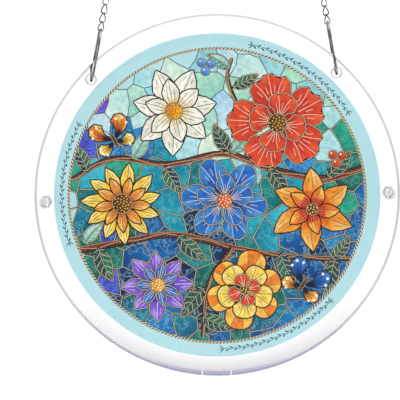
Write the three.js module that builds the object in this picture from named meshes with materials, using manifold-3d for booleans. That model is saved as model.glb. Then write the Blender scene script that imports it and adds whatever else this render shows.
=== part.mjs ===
// An acrylic suncatcher: a round printed picture held between two clear discs, hung by a chain.
// Millimetres, +Z up, front towards -Y. The origin is where a hook bears inside the hanging ring.
import * as THREE from 'three';
import { mergeVertices } from 'three/addons/utils/BufferGeometryUtils.js';
import Module from 'manifold-3d';

// The two clear discs, with all four holes on one circle near the rim.
const DISC_DIAMETER = 200;
const DISC_THICKNESS = 3;
const HOLE_CIRCLE_DIAMETER = 188;
const RING_HOLE_DIAMETER = 5;
const RING_HOLE_ANGLE = 45;
const SCREW_HOLE_DIAMETER = 4.6;
const SCREW_HOLE_ANGLE = 90;

// The printed picture between the discs.
const INSERT_DIAMETER = 178.5;
const INSERT_THICKNESS = 0.4;

// Neighbours that rest on each other keep this much air between them.
const TOUCH_GAP = 0.3;

// A bend of an oval wire this near its middle belongs to neither end.
const MIDDLE_BAND = 0.01;

// The clear plastic screws, with a short chamfer at the end, and the nuts that hold the discs together.
const SCREW_DIAMETER = 4;
const SCREW_LENGTH = 12;
const SCREW_END_CHAMFER = 0.5;
const HEAD_DIAMETER = 6.4;
const HEAD_HEIGHT = 1.9;
const HEAD_EDGE_HEIGHT = 0.8;
const NUT_ACROSS_FLATS = 7;
const NUT_HEIGHT = 3.2;
const NUT_SIDES = 6;

// The long wire rings through the discs. Each one's lower bend lies just below the middle of its hole,
// and the left one is turned a little about its length.
const RING_LENGTH = 30;
const RING_WIDTH = 11.7;
const RING_WIRE = 1.3;
const RING_DROP_IN_HOLE = 0.9;
const LEFT_RING_TURN = 10;

// The chain: oval links, each twisted a quarter turn, so that they all lie the same way round.
// Neighbouring links press into each other by the bite, so that a length of chain is one body.
const LINK_LENGTH = 6.3;
const LINK_WIDTH = 4.2;
const LINK_WIRE = 0.8;
const LINK_BITE = 0.05;
const LINK_TWIST = 90;
const LINK_END_SPREAD = 1.4;

// The round ring that both ends of the chain hang from, above the middle of the discs.
const HANGING_RING_DIAMETER = 20;
const HANGING_RING_WIRE = 1.3;
const RING_TO_DISC_CENTRE = 410;

// The left side hangs lower by this many degrees, because its chain has one more link.
const DISC_TILT = 1.65;

// How finely the round shapes are faceted. A wire's sides go round its section.
const RIM_FACETS = 72;
const HOLE_FACETS = 12;
const SCREW_FACETS = 16;
const DOME_STEPS = 3;
const WIRE_SIDES = 6;
const RING_BENDS = 16;
const HANGING_RING_BENDS = 20;
const LINK_SIDES = 3;
const LINK_BENDS = 6;

const radians = THREE.MathUtils.degToRad;
const holeCircle = HOLE_CIRCLE_DIAMETER / 2;
const discInnerFace = INSERT_THICKNESS / 2 + TOUCH_GAP;
const discOuterFace = discInnerFace + DISC_THICKNESS;
const hangingRingRadius = (HANGING_RING_DIAMETER - HANGING_RING_WIRE) / 2;
const hangingRingCentre = -(hangingRingRadius - HANGING_RING_WIRE / 2);
const discCentre = hangingRingCentre - RING_TO_DISC_CENTRE;

const clearAcrylic = new THREE.MeshStandardMaterial({
  color: '#eef3f5', roughness: 0.05, metalness: 0, transparent: true, opacity: 0.35,
});
const printedFilm = new THREE.MeshStandardMaterial({ color: '#5fa9b4', roughness: 0.35, metalness: 0 });
const clearPlastic = new THREE.MeshStandardMaterial({
  color: '#e3e4e6', roughness: 0.25, metalness: 0, transparent: true, opacity: 0.6,
});
const steelWire = new THREE.MeshStandardMaterial({ color: '#8d8f92', roughness: 0.28, metalness: 1 });

const wasm = await Module();
wasm.setup();

// The same surface with one vertex at each corner, so that it is a closed body.
function closed(geometry) {
  geometry.deleteAttribute('normal');
  geometry.deleteAttribute('uv');
  return mergeVertices(geometry);
}

function toSolid(geometry) {
  const surface = closed(geometry);
  const vertProperties = new Float32Array(surface.attributes.position.array);
  const triVerts = new Uint32Array(surface.index.array);
  return new wasm.Manifold(new wasm.Mesh({ numProp: 3, vertProperties, triVerts }));
}

function toGeometry(solid) {
  const { vertProperties, triVerts } = solid.getMesh();
  const geometry = new THREE.BufferGeometry();
  geometry.setAttribute('position', new THREE.BufferAttribute(vertProperties, 3));
  geometry.setIndex(new THREE.BufferAttribute(triVerts, 1));
  return geometry;
}

function named(name, geometry, material) {
  const mesh = new THREE.Mesh(geometry, material.clone());
  mesh.name = name;
  return mesh;
}

// Corner points of a circle about (x, y).
function circlePoints(diameter, facets, x = 0, y = 0) {
  return Array.from({ length: facets }, (_, i) => {
    const angle = (2 * Math.PI * i) / facets;
    return new THREE.Vector2(x + (diameter / 2) * Math.cos(angle), y + (diameter / 2) * Math.sin(angle));
  });
}

// The place of a hole, by its angle from the top of the disc, clockwise as seen from the front.
function onHoleCircle(angle) {
  return new THREE.Vector2(holeCircle * Math.sin(radians(angle)), holeCircle * Math.cos(radians(angle)));
}

// A flat plate cut from an outline with holes, with its thickness running from y = 0 towards -Y.
function plate(outline, holes, thickness) {
  const shape = new THREE.Shape(outline);
  shape.holes = holes.map((points) => new THREE.Path(points));
  const geometry = new THREE.ExtrudeGeometry(shape, { depth: thickness, bevelEnabled: false });
  return closed(geometry.rotateX(Math.PI / 2));
}

function discGeometry() {
  const holes = [
    [-RING_HOLE_ANGLE, RING_HOLE_DIAMETER],
    [RING_HOLE_ANGLE, RING_HOLE_DIAMETER],
    [-SCREW_HOLE_ANGLE, SCREW_HOLE_DIAMETER],
    [SCREW_HOLE_ANGLE, SCREW_HOLE_DIAMETER],
  ].map(([angle, diameter]) => {
    const { x, y } = onHoleCircle(angle);
    return circlePoints(diameter, HOLE_FACETS, x, y);
  });
  return plate(circlePoints(DISC_DIAMETER, RIM_FACETS), holes, DISC_THICKNESS);
}

// A screw along Y with its domed head in front, turned from its outline of radius and height.
function screwGeometry() {
  const headRadius = HEAD_DIAMETER / 2;
  const shankRadius = SCREW_DIAMETER / 2;
  const domeHeight = HEAD_HEIGHT - HEAD_EDGE_HEIGHT;
  const dome = Array.from({ length: DOME_STEPS + 1 }, (_, i) => {
    const angle = (i / DOME_STEPS) * (Math.PI / 2);
    return new THREE.Vector2(headRadius * Math.sin(angle), -HEAD_EDGE_HEIGHT - domeHeight * Math.cos(angle));
  });
  const shank = [
    new THREE.Vector2(headRadius, 0),
    new THREE.Vector2(shankRadius, 0),
    new THREE.Vector2(shankRadius, SCREW_LENGTH - SCREW_END_CHAMFER),
    new THREE.Vector2(shankRadius - SCREW_END_CHAMFER, SCREW_LENGTH),
    new THREE.Vector2(0, SCREW_LENGTH),
  ];
  return closed(new THREE.LatheGeometry([...dome, ...shank], SCREW_FACETS));
}

function nutGeometry() {
  const acrossCorners = NUT_ACROSS_FLATS / Math.cos(Math.PI / NUT_SIDES);
  const bore = SCREW_DIAMETER + 2 * TOUCH_GAP;
  return plate(circlePoints(acrossCorners, NUT_SIDES), [circlePoints(bore, HOLE_FACETS)], NUT_HEIGHT);
}

// The radius of a section with a few flat sides that has the area of a round wire.
function sectionRadius(wire, sides) {
  const sector = (2 * Math.PI) / sides;
  return (wire / 2) * Math.sqrt(sector / Math.sin(sector));
}

// Which end of an oval a point belongs to: 1 above its middle, -1 below it and 0 on it.
function endOf(y) {
  return Math.abs(y) < MIDDLE_BAND ? 0 : Math.sign(y);
}

// A wire bent into an oval in the XY plane, long along Y: a torus with its two ends slid apart.
function ovalWire(length, width, wire, { sides, bends, firstBend }) {
  const geometry = new THREE.TorusGeometry((width - wire) / 2, sectionRadius(wire, sides), sides, bends);
  geometry.rotateZ(firstBend);
  geometry.computeBoundingBox();
  const slide = length / 2 - geometry.boundingBox.max.y;
  const { position } = geometry.attributes;
  for (let i = 0; i < position.count; i += 1) {
    const y = position.getY(i);
    position.setY(i, y + endOf(y) * slide);
  }
  return geometry;
}

// One link stood up along Z, its lower end across X, its upper end across Y and its sides half-way.
// Its ends are spread, so that the few bends leave as much room inside as a round-ended oval.
function linkGeometry() {
  const facets = { sides: LINK_SIDES, bends: LINK_BENDS, firstBend: 0 };
  const geometry = ovalWire(LINK_LENGTH, LINK_WIDTH, LINK_WIRE, facets).rotateX(Math.PI / 2);
  const { position } = geometry.attributes;
  const point = new THREE.Vector3();
  const lengthwise = new THREE.Vector3(0, 0, 1);
  for (let i = 0; i < position.count; i += 1) {
    point.fromBufferAttribute(position, i);
    const end = endOf(point.z);
    point.x *= end === 0 ? 1 : LINK_END_SPREAD;
    point.applyAxisAngle(lengthwise, (radians(LINK_TWIST) / 2) * (1 + end));
    position.setXYZ(i, point.x, point.y, point.z);
  }
  return geometry;
}

// Links from one height to another, joined where each one's bend bears on the next.
function chainGeometry(lowest, highest) {
  const pitch = LINK_LENGTH - 2 * LINK_WIRE + LINK_BITE;
  const bendToMiddle = (LINK_LENGTH - LINK_WIRE) / 2;
  const run = highest - lowest - 2 * bendToMiddle;
  const steps = Math.floor(run / pitch);
  const middles = Array.from({ length: steps + 1 }, (_, i) => lowest + bendToMiddle + (run * i) / steps);
  const links = middles.map((height) => toSolid(linkGeometry().translate(0, 0, height)));
  return toGeometry(wasm.Manifold.union(links));
}

// Stands a shape that lies in the XY plane into the YZ plane, long along Z.
function standAcross(geometry) {
  const basis = new THREE.Matrix4().makeBasis(
    new THREE.Vector3(0, 1, 0),
    new THREE.Vector3(0, 0, 1),
    new THREE.Vector3(1, 0, 0),
  );
  return geometry.applyMatrix4(basis);
}

const suncatcher = new THREE.Group();

// The discs, the picture and their fasteners, all turned together about the middle of the discs.
const sandwich = new THREE.Group();
sandwich.position.set(0, 0, discCentre);
sandwich.rotation.y = -radians(DISC_TILT);
suncatcher.add(sandwich);

const frontDisc = named('front_disc', discGeometry(), clearAcrylic);
frontDisc.position.y = -discInnerFace;
const backDisc = named('back_disc', discGeometry(), clearAcrylic);
backDisc.position.y = discOuterFace;
const insertRadius = INSERT_DIAMETER / 2;
const insertGeometry = new THREE.CylinderGeometry(insertRadius, insertRadius, INSERT_THICKNESS, RIM_FACETS);
const printedInsert = named('printed_insert', closed(insertGeometry), printedFilm);
sandwich.add(frontDisc, backDisc, printedInsert);

for (const [side, angle] of [['left', -SCREW_HOLE_ANGLE], ['right', SCREW_HOLE_ANGLE]]) {
  const { x, y: z } = onHoleCircle(angle);
  const screw = named(`screw_${side}`, screwGeometry(), clearPlastic);
  screw.position.set(x, -discOuterFace - TOUCH_GAP, z);
  const nut = named(`nut_${side}`, nutGeometry(), clearPlastic);
  nut.position.set(x, discOuterFace + TOUCH_GAP + NUT_HEIGHT, z);
  sandwich.add(screw, nut);
}

// Each side's ring and chain, on a line from its hole to the middle of the hanging ring.
const sides = [
  { side: 'left', angle: -RING_HOLE_ANGLE, ringTurn: LEFT_RING_TURN },
  { side: 'right', angle: RING_HOLE_ANGLE, ringTurn: 0 },
];
for (const { side, angle, ringTurn } of sides) {
  const { x, y: z } = onHoleCircle(angle - DISC_TILT);
  const rise = RING_TO_DISC_CENTRE - z;
  const leg = new THREE.Group();
  leg.position.set(x, 0, discCentre + z);
  leg.rotation.y = Math.atan2(-x, rise);
  suncatcher.add(leg);

  const facets = { sides: WIRE_SIDES, bends: RING_BENDS, firstBend: Math.PI / RING_BENDS };
  const ringGeometry = standAcross(ovalWire(RING_LENGTH, RING_WIDTH, RING_WIRE, facets));
  const ring = named(`ring_${side}`, closed(ringGeometry), steelWire);
  const ringBendToBend = RING_LENGTH - RING_WIRE;
  ring.position.z = ringBendToBend / 2 - RING_DROP_IN_HOLE;
  ring.rotation.z = radians(ringTurn);

  const ringTop = ringBendToBend - RING_DROP_IN_HOLE;
  const lowestBend = ringTop - (RING_WIRE + LINK_WIRE) / 2 - TOUCH_GAP;
  const hangingRingClearance = (HANGING_RING_WIRE + LINK_WIRE) / 2 + TOUCH_GAP;
  const highestBend = Math.hypot(x, rise) - hangingRingRadius + hangingRingClearance;
  const chain = named(`chain_${side}`, chainGeometry(lowestBend, highestBend), steelWire);
  leg.add(ring, chain);
}

const hangingRingGeometry = new THREE.TorusGeometry(
  hangingRingRadius,
  sectionRadius(HANGING_RING_WIRE, WIRE_SIDES),
  WIRE_SIDES,
  HANGING_RING_BENDS,
);
const hangingRing = named('hanging_ring', closed(hangingRingGeometry.rotateX(Math.PI / 2)), steelWire);
hangingRing.position.z = hangingRingCentre;
suncatcher.add(hangingRing);

export default suncatcher;
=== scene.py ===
"""The looks of the acrylic suncatcher: a round printed picture between two clear discs, hung by a chain.

Everything is in metres, +Z up, with the front towards -Y. The picture is drawn in millimetres about the
middle of the disc, and laid in its place with the disc's small tilt.
"""

import math
from functools import partial

import bmesh
import bpy
import numpy as np
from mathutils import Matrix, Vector
from mathutils.geometry import delaunay_2d_cdt


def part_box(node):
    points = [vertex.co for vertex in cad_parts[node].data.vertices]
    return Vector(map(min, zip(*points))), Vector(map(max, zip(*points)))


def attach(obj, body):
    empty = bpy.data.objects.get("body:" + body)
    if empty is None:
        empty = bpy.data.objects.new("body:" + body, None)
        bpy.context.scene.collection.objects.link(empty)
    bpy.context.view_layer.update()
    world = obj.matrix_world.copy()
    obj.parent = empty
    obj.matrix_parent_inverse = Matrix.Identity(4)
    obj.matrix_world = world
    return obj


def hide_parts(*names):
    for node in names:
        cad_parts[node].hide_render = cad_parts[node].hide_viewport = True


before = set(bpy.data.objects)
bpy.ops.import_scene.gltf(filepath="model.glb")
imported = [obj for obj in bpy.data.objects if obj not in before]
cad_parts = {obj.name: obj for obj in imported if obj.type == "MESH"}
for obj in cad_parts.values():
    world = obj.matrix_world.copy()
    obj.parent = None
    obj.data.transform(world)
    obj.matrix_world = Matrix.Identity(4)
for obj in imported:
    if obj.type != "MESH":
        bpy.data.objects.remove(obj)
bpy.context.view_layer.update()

MM = 0.001
TURN = 2 * math.pi
DICE = np.random.default_rng(7)

# The clear discs, with their four holes on one circle.
DISC_RADIUS = 0.100
DISC_TILT = math.radians(1.65)
HOLE_CIRCLE_RADIUS = 0.094
RING_HOLE_RADIUS = 0.0025
RING_HOLE_ANGLE = 45
SCREW_HOLE_RADIUS = 0.0023
SCREW_HOLE_ANGLE = 90
EDGE_ROUND = 0.0004
EDGE_STEPS = 4
RIM_STEPS = 256
HOLE_STEPS = 48

# Where each tint of the discs begins and where it is full: distances from the middle of a disc, down
# from that middle, from one of the two painted glints, and from the edge of a hanging hole. All these
# tints are painted light: reflection, shade and glints.
MARGIN = (0.0890, 0.1001)
EDGE_BAND = (0.0972, 0.09787)
SHADED_RIM_LINE = (0.0984, 0.0992)
RIM_WALL = (0.09985, 0.10002)
RIM_WALL_DEEPENS = 0.0006
LOWER_PART = (0.0550, 0.0967)
LOWEST_PART = (0.0890, 0.0981)
GLINT_PLACE = 0.008
GLINT = (0.00058, 0.00019)
GLINT_SHARE = 0.8
HOLE_EDGE = (0.00077, 0.00032)

CLEAR = (0.99, 0.993, 0.996, 1)
# Painted light on the clear discs: a lavender reflection low in the margin, grey and lavender shade along
# the rim, grey shade round the hanging holes, and white glints.
PALE_LAVENDER_REFLECTION = (0.80, 0.78, 0.80, 1)
LAVENDER_REFLECTION = (0.66, 0.66, 0.76, 1)
RIM_LINE_SHADE_GREY, RIM_LINE_SHADE_LAVENDER = (0.74, 0.74, 0.74, 1), (0.67, 0.675, 0.76, 1)
WALL_SHADE_GREY, WALL_SHADE_LAVENDER = (0.34, 0.35, 0.37, 1), (0.48, 0.49, 0.58, 1)
GLINT_WHITE = (0.95, 0.95, 0.97, 1)
HOLE_EDGE_SHADE = (0.33, 0.33, 0.34, 1)

# The values of a noise between which a mottled finish goes from its dark colour to its light one. The
# scales of the noises are per metre, and those of the printed picture per millimetre.
MOTTLED = (0.35, 0.683)
SCUFFS, PLASTIC_CLOUDS, DULLED, DRAWN_MARKS = 900.0, 700.0, 260.0, 2600.0
SOFTNESS, CLOUDS, FOLDS, GRAINS = 0.16, 0.32, 0.17, 1.3
RIPPLE_SHARE, STIPPLE_SHARE = 0.38, 0.5

# Faces meet in a sharp edge past this angle, and a face this squarely to the front or back is flat.
SHARP_ANGLE = math.radians(35)
FLAT_FACING = 0.99999
SEAM_DISTANCE = 0.0005 * MM
FILL_DISTANCE = 1e-6

# What a cut of the plane keeps: all between the points, what lies in a shape, or the same less its holes.
ALL, INSIDE, INSIDE_LESS_HOLES = 0, 1, 2

# The clear plastic screws and nuts.
SCREW_RADIUS = 0.002
SCREW_END_CHAMFER = 0.0005
THREAD_PITCH = 0.0007
THREAD_DEPTH = 0.0002
THREAD_STEPS = 96
HEAD_RADIUS = 0.0032
HEAD_EDGE_HEIGHT = 0.0008
HEAD_CHAMFER = 0.0001
HEAD_COLUMNS = 10
DOME_STEPS = 20
SLOT_WIDTH = 0.0009
SLOT_DEPTH = 0.0009
NUT_FLAT_RADIUS = 0.0035
NUT_BORE_RADIUS = 0.0023
NUT_LIP = 0.00025
NUT_SIDES = 6
NUT_SIDE_STEPS = 24
NUT_CORNER_SLOPE = math.tan(math.radians(30))
NUT_LEAST_CUT = 0.00002

# The wire rings, the chain's links and the hanging ring. Their steps are those round a bend, those
# along a straight side and those round the wire.
RING_HALF_LENGTH = 0.01435
RING_HALF_WIDTH = 0.0052
RING_WIRE_RADIUS = 0.00065
RING_DROP_IN_HOLE = 0.0009
RING_STEPS = (32, 12, 16)
LEFT_RING_TURN = math.radians(10)
LINK_HALF_LENGTH = 0.0028
LINK_HALF_WIDTH = 0.0017
LINK_WIRE_RADIUS = 0.0004
LINK_BEND_TO_MIDDLE = 0.00275
LINK_LEAST_PITCH = 0.00475
LINK_TWIST = math.radians(90)
LINK_STEPS = (5, 2, 6)
TOP_RING_STEPS = (48, 1, 16)
TOUCH_GAP = 0.0003

disc_low, disc_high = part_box("front_disc")
back_low, back_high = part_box("back_disc")
top_ring_low, top_ring_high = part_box("hanging_ring")
DISC_HEIGHT = (disc_low.z + disc_high.z) / 2
TOP_RING_HEIGHT = (top_ring_low.z + top_ring_high.z) / 2
TOP_RING_RADIUS = (top_ring_high.x - top_ring_low.x) / 2 - RING_WIRE_RADIUS


# Finishes

# The places of a Mix node's sockets for colours, which have the same names as those for numbers.
MIX_FACTOR, MIX_LOW, MIX_HIGH, MIX_RESULT = 0, 6, 7, 2


class Value:
    """A node's output. Python's operators on it add Math nodes, so formulas read as they are written."""

    def __init__(self, nodes, socket):
        self.nodes, self.socket = nodes, socket

    def maths(self, operation, first, second=0.0, clamp=False):
        settings = {"operation": operation, "use_clamp": clamp}
        return self.nodes.node("ShaderNodeMath", settings, {0: first, 1: second})

    def __add__(self, other):
        return self.maths("ADD", self, other)

    def __radd__(self, other):
        return self.maths("ADD", other, self)

    def __sub__(self, other):
        return self.maths("SUBTRACT", self, other)

    def __rsub__(self, other):
        return self.maths("SUBTRACT", other, self)

    def __mul__(self, other):
        return self.maths("MULTIPLY", self, other)

    def __rmul__(self, other):
        return self.maths("MULTIPLY", other, self)

    def __abs__(self):
        return self.maths("ABSOLUTE", self)

    def clamped(self):
        return self.maths("ADD", self, 0.0, clamp=True)

    def ramp(self, start, full):
        """How far the value has come from the start to where it is full, from 0 to 1."""
        return ((self - start) * (1 / (full - start))).clamped()


class Nodes:
    """The nodes of a material or a sky, made from Python expressions."""

    def __init__(self, tree):
        self.tree = tree

    def node(self, kind, settings=None, sockets=None, output=0):
        """Any node: its settings are set first, then the values or links of its sockets."""
        made = self.tree.nodes.new(kind)
        for name, value in (settings or {}).items():
            setattr(made, name, value)
        for key, value in (sockets or {}).items():
            self.join(value, made.inputs[key])
        return Value(self, made.outputs[output])

    def join(self, value, socket):
        if isinstance(value, Value):
            self.tree.links.new(value.socket, socket)
        else:
            socket.default_value = value

    def parts(self, vector):
        """The three parts of a vector or colour."""
        split = self.node("ShaderNodeSeparateXYZ", None, {0: vector})
        return [Value(self, split.socket.node.outputs[i]) for i in range(3)]


class Finish(Nodes):
    """A material with one Principled shader, whose even values are set on its own sockets."""

    def __init__(self, name, **even):
        self.material = bpy.data.materials.new(name)
        self.material.use_nodes = True
        super().__init__(self.material.node_tree)
        self.shader = self.tree.nodes["Principled BSDF"]
        for socket, value in even.items():
            self.shader.inputs[socket.replace("_", " ")].default_value = value

    def feed(self, **varying):
        for socket, value in varying.items():
            self.join(value, self.shader.inputs[socket.replace("_", " ")])

    def mix(self, low, high, factor, blend="MIX"):
        """A colour between two others, or two blended in another way."""
        settings = {"data_type": "RGBA", "blend_type": blend}
        sockets = {MIX_FACTOR: factor, MIX_LOW: low, MIX_HIGH: high}
        return self.node("ShaderNodeMix", settings, sockets, MIX_RESULT)

    def attribute(self, name, output="Color"):
        return self.node("ShaderNodeAttribute", {"attribute_name": name}, output=output)

    def place(self):
        return self.node("ShaderNodeTexCoord", output="Object")

    def noise(self, place, scale, detail=2.0, output="Fac"):
        sockets = {"Vector": place, "Scale": scale, "Detail": detail}
        return self.node("ShaderNodeTexNoise", None, sockets, output)

    def distance(self, x, z):
        return self.node("ShaderNodeMath", {"operation": "SQRT"}, {0: x * x + z * z})

    def bump(self, height, strength, distance):
        sockets = {"Height": height, "Strength": strength, "Distance": distance}
        return self.node("ShaderNodeBump", None, sockets, "Normal")


def clear_acrylic():
    """Polished clear acrylic: see-through, with the faintest scuffs. Painted grey shade lines its rim and
    the edges of the hanging holes, and the rim's line is a little rougher. Low down its margin has a
    painted pale lavender reflection, with a deeper painted lavender band along the rim that two small
    painted glints part."""
    finish = Finish("clear_acrylic", Transmission_Weight=1.0, IOR=1.49, Specular_IOR_Level=0.28)
    place = finish.place()
    x, _, z = finish.parts(place)
    z = z - DISC_HEIGHT
    from_middle = finish.distance(x, z)
    shaded_rim_line = from_middle.ramp(*SHADED_RIM_LINE)
    low_down = (0 - z).ramp(*LOWER_PART)
    edge_band = from_middle.ramp(*EDGE_BAND)
    # Painted highlights: two small white glints on either side of the bottom, in the lavender band along
    # the rim.
    glints = abs(abs(x) - GLINT_PLACE).ramp(*GLINT) * edge_band * low_down
    wall_shade = (from_middle + low_down * RIM_WALL_DEEPENS).ramp(*RIM_WALL)
    # Painted lavender reflection in the lower margin, deeper in a band along the lowest part of the rim.
    tint = finish.mix(CLEAR, PALE_LAVENDER_REFLECTION, from_middle.ramp(*MARGIN) * low_down)
    tint = finish.mix(tint, LAVENDER_REFLECTION, edge_band * (0 - z).ramp(*LOWEST_PART))
    # Painted shade along the rim: a grey line just inside it and a darker one on its rounded wall, both
    # lavender low down. The line inside the rim is also a little rougher.
    tint = finish.mix(tint, finish.mix(RIM_LINE_SHADE_GREY, RIM_LINE_SHADE_LAVENDER, low_down), shaded_rim_line)
    tint = finish.mix(tint, finish.mix(WALL_SHADE_GREY, WALL_SHADE_LAVENDER, low_down), wall_shade)
    tint = finish.mix(tint, GLINT_WHITE, glints * GLINT_SHARE)
    # Painted shade: a dark grey ring round the edge of each hanging hole.
    for side in (-1, 1):
        hole_x, hole_z = on_hole_circle(side * RING_HOLE_ANGLE)
        hole_x, _, hole_z = on_disc(hole_x, 0.0, hole_z)
        from_hole = finish.distance(x - hole_x, z - (hole_z - DISC_HEIGHT))
        tint = finish.mix(tint, HOLE_EDGE_SHADE, (from_hole - RING_HOLE_RADIUS).ramp(*HOLE_EDGE))
    scuffs = finish.noise(place, SCUFFS, 4.0)
    finish.feed(Base_Color=tint, Roughness=(scuffs - 0.55).clamped() * 0.08 + shaded_rim_line * 0.12)
    return finish.material


def clear_plastic():
    """Moulded clear plastic, slightly cloudy, so that its lights and darks run into each other."""
    finish = Finish("clear_plastic", Transmission_Weight=0.85, IOR=1.5)
    clouds = finish.noise(finish.place(), PLASTIC_CLOUDS, 3.0)
    cloudy, clear = (0.50, 0.50, 0.52, 1), (0.90, 0.90, 0.91, 1)
    finish.feed(Base_Color=finish.mix(cloudy, clear, clouds.ramp(*MOTTLED)))
    finish.feed(Roughness=0.08 + clouds * 0.2)
    return finish.material


def steel_wire():
    """Polished steel wire, with fine drawing marks, and darker where it has dulled."""
    finish = Finish("steel_wire", Metallic=1.0)
    place = finish.place()
    bright = finish.noise(place, DULLED, 3.0).ramp(*MOTTLED)
    marks = finish.noise(place, DRAWN_MARKS, 2.0)
    dull_steel, bright_steel = (0.05, 0.05, 0.055, 1), (0.27, 0.275, 0.29, 1)
    finish.feed(Base_Color=finish.mix(dull_steel, bright_steel, bright))
    finish.feed(Roughness=0.3 - bright * 0.12 + marks * 0.06)
    finish.feed(Normal=finish.bump(marks, 0.15, 0.02 * MM))
    return finish.material


def printed_film():
    """The printed picture. Each shape has two colours, a slope that says how far from one to the other
    a place is, and shares of clouding, of thin pale ripples, of stippling and of wire. Fine streaks run
    along the slope."""
    finish = Finish("printed_film", Specular_IOR_Level=0.12)
    plan = finish.attribute("plan", "Vector")
    x, _, z = finish.parts(plan)
    slope_x, slope_z, start = finish.parts(finish.attribute("slope", "Vector"))
    cloudy, rippled, stippled = finish.parts(finish.attribute("grain"))
    wired = finish.attribute("grain", "Alpha")
    along = slope_x * x + slope_z * z + start
    across = slope_x * z - slope_z * x
    wire = (1.7 - abs(along - 0.5) * 8).clamped()
    soft = finish.noise(plan, SOFTNESS, 3.0)
    shift = (along + (soft - 0.5) * cloudy).clamped() * (1 - wired) + wire * wired
    glass = finish.mix(finish.attribute("first_colour"), finish.attribute("second_colour"), shift)
    clouds = finish.noise(plan, CLOUDS, 2.5)
    lengthways = finish.node("ShaderNodeCombineXYZ", None, {0: along * 2, 1: across * 26, 2: cloudy})
    streaks = finish.noise(lengthways, 1.0, 2.0)
    shade = 1 + ((clouds - 0.5) * 1.1 + (streaks - 0.5) * 0.7) * cloudy
    folds = finish.noise(plan, FOLDS, 1.5)
    ripples = (1 - abs(folds - 0.5) * 34).clamped() + (1 - abs(folds - 0.41) * 40).clamped()
    stipple = ((finish.noise(plan, GRAINS, 1.0) - 0.52) * 9).clamped()
    grey = finish.node("ShaderNodeCombineColor", None, {0: shade, 1: shade, 2: shade})
    glass = finish.mix(glass, grey, 1.0, "MULTIPLY")
    pale_aqua, stipple_green = (0.50, 0.80, 0.84, 1), (0.20, 0.45, 0.33, 1)
    glass = finish.mix(glass, pale_aqua, (ripples * rippled * RIPPLE_SHARE).clamped())
    glass = finish.mix(glass, stipple_green, (stipple * stippled * STIPPLE_SHARE).clamped())
    finish.feed(Base_Color=glass, Roughness=0.5 + clouds * 0.15)
    return finish.material


# Shapes

def on_disc(x, y, z):
    """Points of the disc's own upright plan, turned by its tilt and moved to its place."""
    x, y, z = np.broadcast_arrays(x, y, z)
    turned_x = x * math.cos(DISC_TILT) - z * math.sin(DISC_TILT)
    turned_z = x * math.sin(DISC_TILT) + z * math.cos(DISC_TILT)
    return np.stack([turned_x, y, turned_z + DISC_HEIGHT], axis=-1)


def on_hole_circle(degrees):
    """The place of a hole in the disc's plan, by its angle clockwise from the top."""
    angle = math.radians(degrees)
    return HOLE_CIRCLE_RADIUS * math.sin(angle), HOLE_CIRCLE_RADIUS * math.cos(angle)


def grid_faces(rows, columns, close_rows=False, close_columns=False):
    """The quads between neighbouring points of a grid, counted row by row."""
    row = np.arange(rows if close_rows else rows - 1)[:, None]
    column = np.arange(columns if close_columns else columns - 1)[None, :]
    next_row, next_column = (row + 1) % rows, (column + 1) % columns
    corners = [
        row * columns + column,
        row * columns + next_column,
        next_row * columns + next_column,
        next_row * columns + column,
    ]
    return np.stack(np.broadcast_arrays(*corners), axis=-1).reshape(-1, 4)


def make_piece(name, points, faces, finish, node):
    """A mesh object of these points and faces, which stands for a node of the frame."""
    mesh = bpy.data.meshes.new(name)
    corners = [tuple(face) for block in faces for face in np.asarray(block).tolist()]
    mesh.from_pydata(np.asarray(points).reshape(-1, 3).tolist(), [], corners)
    close_seams(mesh)
    normals = np.empty(3 * len(mesh.polygons))
    mesh.polygons.foreach_get("normal", normals)
    facing_flat = np.abs(normals[1::3]) > FLAT_FACING
    mesh.polygons.foreach_set("use_smooth", ~facing_flat)
    mesh.set_sharp_from_angle(angle=SHARP_ANGLE)
    mesh.materials.append(finish)
    return place_piece(name, mesh, node)


def new_object(name, data):
    made = bpy.data.objects.new(name, data)
    bpy.context.scene.collection.objects.link(made)
    return made


def place_piece(name, mesh, node):
    piece = new_object(name, mesh)
    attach(piece, "root")
    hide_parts(node)
    return piece


def close_seams(mesh):
    """Merges points that coincide, and turns all faces outwards."""
    work = bmesh.new()
    work.from_mesh(mesh)
    bmesh.ops.remove_doubles(work, verts=work.verts, dist=SEAM_DISTANCE)
    bmesh.ops.recalc_face_normals(work, faces=work.faces)
    work.to_mesh(mesh)
    work.free()


def closed_piece(name, points, finish, node):
    """A piece whose points are one grid that closes on itself both ways."""
    faces = [grid_faces(*points.shape[:2], close_rows=True, close_columns=True)]
    return make_piece(name, points, faces, finish, node)


def round_turn(steps):
    """Evenly spaced angles of one turn."""
    return np.linspace(0, TURN, steps, endpoint=False)


def polar(reach, angle, x=0.0, z=0.0):
    """Points at a distance and an angle from a middle, anticlockwise from its right-hand side."""
    return np.stack([x + reach * np.cos(angle), z + reach * np.sin(angle)], axis=-1)


def circle(radius, steps, x=0.0, z=0.0):
    """Evenly spaced points of a circle."""
    return polar(radius, round_turn(steps), x, z)


def triangulated(points, edges, kept, tolerance):
    """The triangles between points, as the points' numbers, with the given edges among their own."""
    cut = delaunay_2d_cdt([Vector(p) for p in points.tolist()], edges, [], kept, tolerance)
    return np.array([origin[0] for origin in cut[3]])[np.array(cut[2])]


def filled(loops):
    """The triangles that fill the space between an outline and the holes in it, as point numbers. A
    triangle between three points of one hole lies in that hole, and is left out."""
    flat = np.concatenate(loops)
    loop_of = np.repeat(np.arange(len(loops)), [len(loop) for loop in loops])
    edges, start = [], 0
    for loop in loops:
        ring = np.arange(len(loop))
        edges += list(zip((start + ring).tolist(), (start + (ring + 1) % len(loop)).tolist()))
        start += len(loop)
    triangles = triangulated(flat / MM, edges, INSIDE_LESS_HOLES, FILL_DISTANCE)
    owners = loop_of[triangles]
    in_hole = (owners[:, 0] > 0) & (owners[:, 0] == owners[:, 1]) & (owners[:, 0] == owners[:, 2])
    return triangles[~in_hole]


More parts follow.
